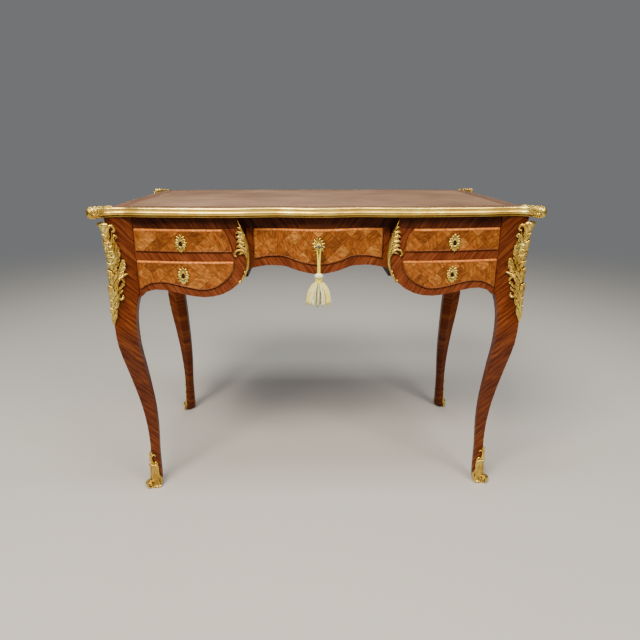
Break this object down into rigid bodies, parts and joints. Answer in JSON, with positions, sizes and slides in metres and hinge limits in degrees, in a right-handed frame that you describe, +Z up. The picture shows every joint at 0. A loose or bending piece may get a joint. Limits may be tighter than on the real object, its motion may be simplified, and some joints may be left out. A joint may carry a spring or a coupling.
{
  "type": "writing desk",
  "caption": "Serpentine writing desk on cabriole legs, with a leather top, gilt mounts and locking drawers over a kneehole.",
  "frame": {"origin": "middle of the floor under the desk, at the bottom centre of its bounding box", "axes": "+X to the right of someone facing the front, -Y out of the drawer front, +Z up"},
  "size_m": [1.0534, 0.5864, 0.774],
  "materials": {
    "kingwood": "french polished",
    "tulipwood": "french polished parquetry",
    "oak": "unfinished",
    "gilt_bronze": "mercury gilt, burnished and matt",
    "brass": "dull",
    "steel": "filed and worn",
    "leather": "polished calf",
    "silk": "silk floss"
  },
  "bodies": {
    "table": {"leather_writing_surface": "leather", "top_board": "kingwood", "corner_clasps": "gilt_bronze", "edge_moulding": "gilt_bronze", "leg_front_right": "kingwood", "sabot_front_right": "gilt_bronze", "leg_front_left": "kingwood", "sabot_front_left": "gilt_bronze", "leg_back_right": "kingwood", "sabot_back_right": "gilt_bronze", "leg_back_left": "kingwood", "sabot_back_left": "gilt_bronze", "leg_chutes": "gilt_bronze", "front_top_rail": "kingwood", "centre_apron_rail": "kingwood", "centre_stiles": "kingwood", "mid_rails": "kingwood", "lower_rail_right": "kingwood", "kneehole_stile_right": "kingwood", "kneehole_panel_right": "oak", "side_apron_right": "kingwood", "shoulder_scroll_right": "gilt_bronze", "lower_rail_left": "kingwood", "kneehole_stile_left": "kingwood", "kneehole_panel_left": "oak", "side_apron_left": "kingwood", "shoulder_scroll_left": "gilt_bronze", "back_frame": "kingwood", "sham_drawer_fronts": "tulipwood", "drawer_runners": "oak", "glue_blocks": "oak"},
    "upper_right_drawer": {"upper_right_drawer_front": "tulipwood", "upper_right_drawer_box": "oak", "upper_right_drawer_lock": "brass", "upper_right_drawer_escutcheon": "gilt_bronze"},
    "upper_right_bolt": {"upper_right_drawer_bolt": "steel"},
    "upper_left_drawer": {"upper_left_drawer_front": "tulipwood", "upper_left_drawer_box": "oak", "upper_left_drawer_lock": "brass", "upper_left_drawer_escutcheon": "gilt_bronze"},
    "upper_left_bolt": {"upper_left_drawer_bolt": "steel"},
    "lower_right_drawer": {"lower_right_drawer_front": "tulipwood", "lower_right_drawer_box": "oak", "lower_right_drawer_lock": "brass", "lower_right_drawer_escutcheon": "gilt_bronze"},
    "lower_right_bolt": {"lower_right_drawer_bolt": "steel"},
    "lower_left_drawer": {"lower_left_drawer_front": "tulipwood", "lower_left_drawer_box": "oak", "lower_left_drawer_lock": "brass", "lower_left_drawer_escutcheon": "gilt_bronze"},
    "lower_left_bolt": {"lower_left_drawer_bolt": "steel"},
    "centre_drawer": {"centre_drawer_front": "tulipwood", "centre_drawer_box": "oak", "centre_drawer_lock": "brass", "centre_drawer_escutcheon": "gilt_bronze"},
    "centre_bolt": {"centre_drawer_bolt": "steel"},
    "key": {"key": "steel"},
    "tassel": {"tassel_loop": "silk", "tassel_head": "silk", "tassel_skirt": "silk"}
  },
  "joints": [
    {"name": "upper_right_drawer_slide", "type": "slide", "parent": "table", "child": "upper_right_drawer", "axis": [0, -1, 0], "range_m": [0, 0.3]},
    {"name": "upper_left_drawer_slide", "type": "slide", "parent": "table", "child": "upper_left_drawer", "axis": [0, -1, 0], "range_m": [0, 0.3]},
    {"name": "lower_right_drawer_slide", "type": "slide", "parent": "table", "child": "lower_right_drawer", "axis": [0, -1, 0], "range_m": [0, 0.3]},
    {"name": "lower_left_drawer_slide", "type": "slide", "parent": "table", "child": "lower_left_drawer", "axis": [0, -1, 0], "range_m": [0, 0.3]},
    {"name": "centre_drawer_slide", "type": "slide", "parent": "table", "child": "centre_drawer", "axis": [0, -1, 0], "range_m": [0, 0.3]},
    {"name": "upper_right_bolt_throw", "type": "slide", "parent": "upper_right_drawer", "child": "upper_right_bolt", "axis": [0, 0, 1], "range_m": [0, 0.007]},
    {"name": "upper_left_bolt_throw", "type": "slide", "parent": "upper_left_drawer", "child": "upper_left_bolt", "axis": [0, 0, 1], "range_m": [0, 0.007]},
    {"name": "lower_right_bolt_throw", "type": "slide", "parent": "lower_right_drawer", "child": "lower_right_bolt", "axis": [0, 0, 1], "range_m": [0, 0.007]},
    {"name": "lower_left_bolt_throw", "type": "slide", "parent": "lower_left_drawer", "child": "lower_left_bolt", "axis": [0, 0, 1], "range_m": [0, 0.007]},
    {"name": "centre_bolt_throw", "type": "slide", "parent": "centre_drawer", "child": "centre_bolt", "axis": [0, 0, 1], "range_m": [0, 0.007]},
    {"name": "key_turn", "type": "hinge", "parent": "centre_drawer", "child": "key", "pos_m": [0, -0.27, 0.682], "axis": [0, 1, 0], "range_deg": [0, 360]},
    {"name": "tassel_swing", "type": "hinge", "parent": "centre_drawer", "child": "tassel", "pos_m": [0, -0.2785, 0.682], "axis": [0, 1, 0], "range_deg": [-50, 50]}
  ],
  "couplings": [
    {"joint": "key_turn", "follows": "centre_bolt_throw", "rad_per_m": 897.6}
  ]
}
